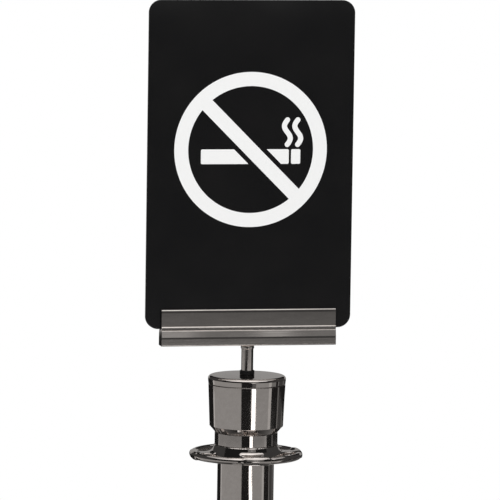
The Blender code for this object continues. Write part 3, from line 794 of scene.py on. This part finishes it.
def make_ring():
    """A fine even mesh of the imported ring, drawn onto the filleted skin."""
    ring = bpy.data.objects.new("polished_ring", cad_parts["rope_ring"].data.copy())
    remesh = ring.modifiers.new("even mesh", "REMESH")
    remesh.mode = "VOXEL"
    remesh.voxel_size = CASTING_GRID
    apply_modifiers(ring)
    count = len(ring.data.vertices)
    points = np.empty(count * 3)
    ring.data.vertices.foreach_get("co", points)
    points = points.reshape(-1, 3)
    for _ in range(CASTING_PASSES):
        slope = np.empty_like(points)
        for axis in range(3):
            shift = np.zeros(3)
            shift[axis] = CASTING_SLOPE_STEP
            rise = ring_distance(points + shift) - ring_distance(points - shift)
            slope[:, axis] = rise / (2 * CASTING_SLOPE_STEP)
        size = np.maximum(np.sum(slope * slope, axis=1), CASTING_LEAST_SLOPE)
        points -= slope * (ring_distance(points) / size)[:, None] * CASTING_PULL
    ring.data.vertices.foreach_set("co", points.ravel())
    ring.data.update()
    show(ring, METAL, "polished_metal", "rope_ring")


def make_tube():
    bore = TUBE_RADIUS - TUBE_WALL
    corners = [
        (bore, TUBE_TOP, 0.0),
        (TUBE_RADIUS, TUBE_TOP, TUBE_END_ROUND),
        (TUBE_RADIUS, TUBE_FOOT, 0.0),
        (bore, TUBE_FOOT, 0.0),
    ]
    show_turned("polished_tube", corners, FINE_TURN, METAL, "polished_metal", "post_tube")


def make_foot_collar():
    crest = POST_HOLE + FOOT_COLLAR_CREST
    spread_out = FOOT_COLLAR_WIDTH - FOOT_COLLAR_CREST
    rise = FOOT_COLLAR_HEIGHT - FOOT_COLLAR_STEP
    profile = [(POST_HOLE, COLLAR_FOOT + FOOT_COLLAR_HEIGHT)]
    for share in shares(16):
        angle = math.pi / 2 * share
        height = COLLAR_FOOT + FOOT_COLLAR_STEP + rise * math.cos(angle)
        profile.append((crest + spread_out * math.sin(angle), height))
    edge = POST_HOLE + FOOT_COLLAR_WIDTH
    profile += [(edge, COLLAR_FOOT + SOFTENED), (edge - SOFTENED, COLLAR_FOOT), (POST_HOLE, COLLAR_FOOT)]
    show(turned("polished_foot_collar", profile, FINE_TURN), METAL, "polished_metal", "foot_collar")


def cover_line(inward):
    """The base cover's outside from the centre hole to the rim, or its inside for a step of one sheet."""
    shoulder = COVER_SHOULDER_RADIUS - inward
    rim = COVER_RADIUS - inward
    foot = FLOOR_RING_THICKNESS + FIT_GAP
    shoulder_middle = foot + COVER_SKIRT_HEIGHT
    crown = shoulder_middle + shoulder
    top = COVER_TOP_HEIGHT - inward
    edge = rim - shoulder
    points = [(POST_HOLE, top)]
    for share in shares(48):
        wave = 0.5 + 0.5 * math.cos(math.pi * share)
        fall = COVER_SWELL * wave + (1 - COVER_SWELL) * (1 - share)
        points.append((COVER_TOP_RADIUS + (edge - COVER_TOP_RADIUS) * share, crown + (top - crown) * fall))
    points += arc((edge, shoulder_middle), shoulder, COVER_SHOULDER_START, 0, steps=16)
    points.append((rim, foot))
    return points


def make_cover():
    profile = cover_line(0.0) + list(reversed(cover_line(COVER_SHEET)))
    show(turned("polished_cover", profile, WIDE_TURN), METAL, "polished_metal", "base_cover")


def make_floor_ring():
    lip = BASE_RADIUS - FLOOR_RING_LIP
    corners = [
        (lip, FLOOR_RING_LIP_HEIGHT, FLOOR_RING_INNER_ROUND),
        (BASE_RADIUS, FLOOR_RING_LIP_HEIGHT, FLOOR_RING_LIP_ROUND),
        (BASE_RADIUS, 0.0, FLOOR_RING_FOOT_ROUND),
        (FLOOR_RING_BORE, 0.0, FLOOR_RING_FOOT_ROUND),
        (FLOOR_RING_BORE, FLOOR_RING_THICKNESS, FLOOR_RING_INNER_ROUND),
        (lip, FLOOR_RING_THICKNESS, 0.0),
    ]
    show_turned("rubber_floor_ring", corners, WIDE_TURN, RUBBER, "black_rubber", "floor_ring")


def print_sheet(name, outline):
    """A flat piece of the print, sunk a hair into the panel's front."""
    piece = sheet(name, outline, PRINT_THICKNESS, upright)
    piece.location = (0.0, -PANEL_THICKNESS / 2 - PRINT_THICKNESS / 2 + PRINT_SINK, SYMBOL_HEIGHT)
    return piece


def cut_print(piece, outline):
    cutter = print_sheet("cutter", outline)
    cutter.scale.y = PRINT_CUTTER_STRETCH
    combine(piece, cutter, "DIFFERENCE")


def slash_outline(width, reach):
    """A straight bar through the middle, from upper left to lower right."""
    along = Vector((1, -1)).normalized() * reach
    across = Vector((1, 1)).normalized() * width / 2
    return [tuple(along + across), tuple(-along + across), tuple(-along - across), tuple(along - across)]


def smoke_outline(start, height, sway):
    """A curl of smoke that rises from a point in one S, as a stroke with round ends."""
    centre = []
    for share in shares(32):
        centre.append(Vector((start[0] + sway * math.sin(2 * math.pi * share), start[1] + height * share)))
    last = len(centre) - 1
    half = SMOKE_STROKE / 2
    left, right = [], []
    for index, point in enumerate(centre):
        ahead = centre[min(index + 1, last)] - centre[max(index - 1, 0)]
        normal = Vector((-ahead.y, ahead.x)).normalized() * half
        left.append(tuple(point + normal))
        right.append(tuple(point - normal))
    start_angle = math.degrees(math.atan2(left[0][1] - centre[0].y, left[0][0] - centre[0].x))
    end_angle = math.degrees(math.atan2(right[-1][1] - centre[-1].y, right[-1][0] - centre[-1].x))
    foot = arc(centre[0], half, start_angle, start_angle + 180, steps=8)[1:-1]
    head = arc(centre[-1], half, end_angle, end_angle + 180, steps=8)[1:-1]
    return left[::-1] + foot + right + head


def make_symbol():
    """A ring with a slash over a lit cigarette, in one colour, with a gap beside the slash."""
    ring = print_sheet("print_ring", circle(SYMBOL_RADIUS, SYMBOL_TURN))
    inside = SYMBOL_RADIUS - SYMBOL_STROKE
    cut_print(ring, circle(inside, SYMBOL_TURN))
    combine(ring, print_sheet("slash", slash_outline(SYMBOL_STROKE, inside + SYMBOL_STROKE / 2)), "UNION")
    show(ring, INK, "white_print")

    half = CIGARETTE_LENGTH / 2
    foot = -CIGARETTE_DROP - CIGARETTE_HEIGHT / 2
    top = -CIGARETTE_DROP + CIGARETTE_HEIGHT / 2
    ember = half - EMBER_LENGTH
    spans = {"print_cigarette": (-half, ember - SYMBOL_GAP / 2), "print_ember": (ember, half)}
    for name, (left, right) in spans.items():
        corners = rectangle(left, right, foot, top, CIGARETTE_CORNER_RADIUS)
        piece = print_sheet(name, filleted(corners, closed=True))
        if name == "print_cigarette":
            cut_print(piece, slash_outline(SYMBOL_STROKE + 2 * SYMBOL_GAP, inside))
        show(piece, INK, "white_print")
    offsets = {"print_smoke_left": SMOKE_LEFT_OFFSET, "print_smoke_right": SMOKE_RIGHT_OFFSET}
    for name, offset in offsets.items():
        start = (ember + EMBER_LENGTH / 2 + offset, top + SYMBOL_GAP)
        show(print_sheet(name, smoke_outline(start, SMOKE_HEIGHT, SMOKE_SWAY)), INK, "white_print")


make_panel()
make_holder()
make_rod()
make_lock_collar()
make_lid()
make_cap()
make_neck()
make_ring()
make_tube()
make_foot_collar()
make_cover()
make_floor_ring()
make_symbol()

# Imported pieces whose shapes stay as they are, inside or seen only from below or behind
KEPT_STEEL = [
    "pinch_screw_left",
    "pinch_screw_right",
    "tube_top_plug",
    "tie_rod",
    "tie_rod_washer",
    "tie_rod_nut",
]


def dress_kept(name, material):
    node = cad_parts[name]
    node.data.materials.clear()
    node.data.materials.append(material)


for kept_name in KEPT_STEEL:
    dress_kept(kept_name, STEEL)
dress_kept("base_weight", IRON)

# Studio: a pale floor that fades into a white surround
FLOOR_RINGS = [0.0, 0.5, 1.0, 2.0, 3.0, 4.4]
FLOOR_TURN = 96
FLOOR_FADE_START = 0.7
FLOOR_FADE_END = 2.6
AMBIENT = 0.74
LAMP_PLACE = (-1.3, -1.7, 3.0)
LAMP_AIM = (0.0, 0.0, 0.6)
LAMP_DIAMETER = 1.8
LAMP_WATTS = 26.0
WHITE = (1.0, 1.0, 1.0, 1.0)


def distance_from_origin(tree):
    return length_of(tree, coordinates(tree))


def make_floor():
    floor = turned("floor", [(radius, 0.0) for radius in FLOOR_RINGS], FLOOR_TURN)
    material, tree, shader = start_material("pale_floor", 0.85, colour=(0.9, 0.9, 0.9))
    shader.inputs["Specular IOR Level"].default_value = 0.15
    bump(tree, shader, noise(tree, coordinates(tree), scale=60.0, detail=4.0), distance=0.1 * MM)
    share = spread(tree, distance_from_origin(tree), (FLOOR_FADE_START, FLOOR_FADE_END))
    white = add(tree, "ShaderNodeEmission", inputs={"Color": WHITE, "Strength": 1.0})
    mix = add(tree, "ShaderNodeMixShader", inputs={0: share, 1: shader.outputs[0], 2: white.outputs[0]})
    tree.links.new(mix.outputs[0], tree.nodes["Material Output"].inputs["Surface"])
    floor.data.materials.append(material)
    bpy.context.scene.collection.objects.link(floor)


def make_world():
    """White for what the camera and the reflections see, and an even, dimmer light for the rest."""
    world = bpy.data.worlds.new("studio")
    world.use_nodes = True
    tree = world.node_tree
    tree.nodes.clear()
    path = add(tree, "ShaderNodeLightPath")
    seen = path.outputs["Is Camera Ray"]
    for kind in ("Is Glossy Ray", "Is Transmission Ray"):
        seen = maths(tree, "MAXIMUM", seen, path.outputs[kind])
    even = add(tree, "ShaderNodeBackground", inputs={"Color": WHITE, "Strength": AMBIENT})
    white = add(tree, "ShaderNodeBackground", inputs={"Color": WHITE, "Strength": 1.0})
    mix = add(tree, "ShaderNodeMixShader", inputs={0: seen, 1: even.outputs[0], 2: white.outputs[0]})
    output = add(tree, "ShaderNodeOutputWorld")
    tree.links.new(mix.outputs[0], output.inputs["Surface"])
    bpy.context.scene.world = world


def make_lamp():
    data = bpy.data.lights.new("soft_lamp", "AREA")
    data.shape = "DISK"
    data.size = LAMP_DIAMETER
    data.energy = LAMP_WATTS
    lamp = bpy.data.objects.new("soft_lamp", data)
    lamp.location = LAMP_PLACE
    lamp.rotation_euler = (Vector(LAMP_AIM) - lamp.location).to_track_quat("-Z", "Y").to_euler()
    lamp.visible_glossy = False
    bpy.context.scene.collection.objects.link(lamp)


# Cards round the sign that its polished metal reflects, on a sphere about the post's head. Each has a name,
# its azimuths in degrees, from the camera to the picture's right, its heights in degrees and its brightness.
# A later card lies a little nearer, so that it covers an earlier one.
CARD_CENTRE = Vector((0.0, 0.0, 1.0))
CARD_RADIUS = 1.6
CARD_SPACING = 0.004
CARD_FACET = 4  # degrees
CARD_COLOUR = (1.0, 0.985, 0.97, 1.0)
DARK_FLOOR_TURN = 64
DARK_FLOOR_HEIGHT = 0.01
DARK_FLOOR_INNER = 0.24
DARK_FLOOR_OUTER = 1.3
DARK_FLOOR_NEAR = 0.015
DARK_FLOOR_FAR = 0.18
CARDS = [
    ("tent_wall", -180, 180, -38.4, 90, 0.012),
    ("left_wall", -121.5, -16, -38.4, -5.5, 0.29),
    ("left_wall_edge", -121.5, -115, -38.4, -5.5, 0.5),
    ("left_wall_for_neck", -121.5, -16, -9.75, -9, 0.175),
    ("right_wall", 24, 70, -38.4, -5.5, 0.265),
    ("right_wall_edge", 70, 80, -38.4, -5.5, 0.4),
    ("right_wall_for_neck", 24, 80, -9.75, -9, 0.19),
    ("right_wall_for_lid", 80, 98, -17, -12.7, 0.17),
    ("far_right_wall", 114, 135, -38.4, -9.8, 0.05),
    ("far_right_wall_edge", 135, 152, -38.4, -9.8, 0.1),
    ("far_right_slit", 107, 113, -38.4, -9, 0.14),
    ("left_glow", -150, -78, -5.5, 44, 0.045),
    ("right_glow", 78, 150, -5.5, 44, 0.045),
    ("low_strip", 15.5, 27.4, -15.8, -11.5, 2.2),
    ("high_strip", 13.5, 23.5, -11.5, -8.3, 2.2),
    ("front_strip_foot", 17, 28, -38.4, -16, 0.1),
    ("front_panel", 14, 34, -8.2, -4, 0.11),
    ("panel_glow", 14, 34, -4, 9, 0.05),
    ("dark_for_rod", -50, 4, -8, -6, 0.012),
    ("light_for_rod", 4, 84, -8, -6.2, 0.32),
    ("shoulder_panel", 8, 36, 9, 34, 0.17),
    ("shoulder_patch_left", 19, 21, 9, 30, 0.33),
    ("shoulder_patch_right", 24, 25.2, 9, 30, 0.4),
    ("back_wall", 150, 210, -5, 12, 0.30),
    ("back_strip", 168, 186, -38.4, -8, 0.9),
    ("side_light_left", -165, -78, 44, 70, 0.45),
    ("side_light_right", 78, 165, 44, 70, 0.45),
    ("front_light_low", -78, 78, 40, 66, 0.9),
    ("front_light_high", -78, 78, 66, 82, 1.5),
    ("top_light", -180, 180, 84, 90, 0.2),
]


def direction_from(azimuth, height):
    """A direction from degrees to the right of the camera and degrees above the level."""
    turn = math.radians(azimuth - 90) - CAMERA_TURN
    lift = math.radians(height)
    return Vector((math.cos(turn) * math.cos(lift), math.sin(turn) * math.cos(lift), math.sin(lift)))


def make_card(index, name, left, right, low, high, brightness):
    columns = max(2, int((right - left) / CARD_FACET) + 1)
    rows = max(2, int((high - low) / CARD_FACET) + 1)
    radius = CARD_RADIUS - CARD_SPACING * index
    points, faces = [], []
    for up in shares(rows):
        for across in shares(columns):
            direction = direction_from(left + (right - left) * across, low + (high - low) * up)
            points.append(tuple(CARD_CENTRE + direction * radius))
    for row in range(rows):
        for column in range(columns):
            start = row * (columns + 1) + column
            faces.append((start, start + 1, start + columns + 2, start + columns + 1))
    finish_card(mesh_object("card_" + name, points, faces), brightness)


def finish_card(card, brightness):
    """Gives a card its even glow, and keeps it out of all but the reflections."""
    material = bpy.data.materials.new(card.name)
    material.use_nodes = True
    tree = material.node_tree
    tree.nodes.remove(tree.nodes["Principled BSDF"])
    light = add(tree, "ShaderNodeEmission", inputs={"Color": CARD_COLOUR, "Strength": brightness})
    tree.links.new(light.outputs[0], tree.nodes["Material Output"].inputs["Surface"])
    card.data.materials.append(material)
    card.visible_camera = False
    card.visible_diffuse = False
    card.visible_shadow = False
    card.visible_transmission = False
    card.visible_volume_scatter = False
    bpy.context.scene.collection.objects.link(card)


def make_dark_floor():
    """A card on the floor that darkens towards the base, so that what faces down in the head stays dark."""
    corners = [
        (DARK_FLOOR_INNER, DARK_FLOOR_HEIGHT),
        (DARK_FLOOR_OUTER, DARK_FLOOR_HEIGHT),
        (DARK_FLOOR_OUTER, DARK_FLOOR_HEIGHT - MM),
        (DARK_FLOOR_INNER, DARK_FLOOR_HEIGHT - MM),
    ]
    card = turned("card_floor", corners, DARK_FLOOR_TURN)
    finish_card(card, DARK_FLOOR_FAR)
    tree = card.data.materials[0].node_tree
    span = (DARK_FLOOR_INNER, DARK_FLOOR_OUTER)
    glow = spread(tree, distance_from_origin(tree), span, (DARK_FLOOR_NEAR, DARK_FLOOR_FAR))
    tree.links.new(glow, tree.nodes["Emission"].inputs["Strength"])


def make_camera():
    right = Vector((math.cos(CAMERA_TURN), -math.sin(CAMERA_TURN), 0.0))
    away = direction_from(0.0, math.degrees(CAMERA_LIFT))
    target = Vector((0.0, 0.0, VIEW_CENTRE_HEIGHT)) + right * VIEW_CENTRE_SIDE
    data = bpy.data.cameras.new("camera")
    data.lens = CAMERA_LENS
    data.sensor_width = CAMERA_SENSOR
    data.clip_start = CAMERA_NEAR
    data.clip_end = CAMERA_FAR
    camera = bpy.data.objects.new("camera", data)
    camera.location = target + away * CAMERA_DISTANCE
    level = (-away).to_track_quat("-Z", "Y")
    camera.rotation_euler = (level @ Quaternion((0.0, 0.0, 1.0), CAMERA_ROLL)).to_euler()
    bpy.context.scene.collection.objects.link(camera)
    bpy.context.scene.camera = camera


make_floor()
make_world()
make_lamp()
for card_index, card_values in enumerate(CARDS):
    make_card(card_index, *card_values)
make_dark_floor()
make_camera()

bpy.context.scene.view_settings.view_transform = "Standard"
